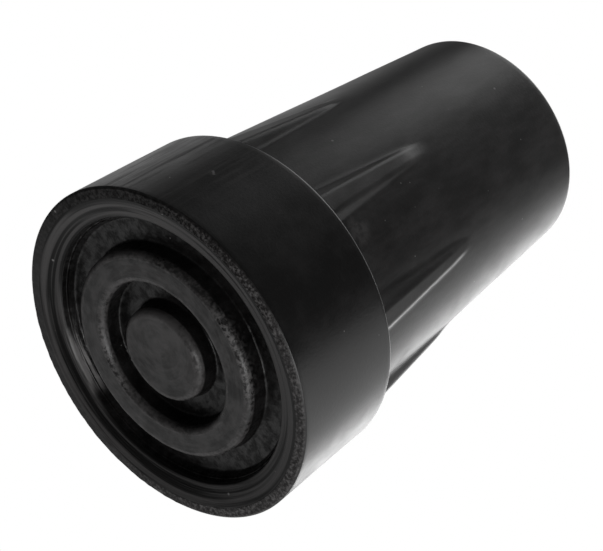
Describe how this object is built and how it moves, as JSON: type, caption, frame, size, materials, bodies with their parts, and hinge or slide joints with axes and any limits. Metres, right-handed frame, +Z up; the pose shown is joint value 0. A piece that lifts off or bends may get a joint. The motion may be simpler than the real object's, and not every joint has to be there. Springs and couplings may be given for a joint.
{
  "type": "rubber cane tip",
  "caption": "Moulded rubber tip for a walking stick: ribbed tapered sleeve with a blind round socket, and a wide cylindrical foot with a ringed, grooved underside.",
  "frame": {"origin": "centre of the foot on the ground plane", "axes": "+Z up the stick's axis, out of the socket's mouth; +X through the middle of one rib"},
  "size_m": [0.038, 0.038, 0.0561],
  "materials": {
    "black_rubber": "satin moulded black rubber"
  },
  "bodies": {
    "root": {"rubber_tip": "black_rubber"}
  },
  "joints": []
}
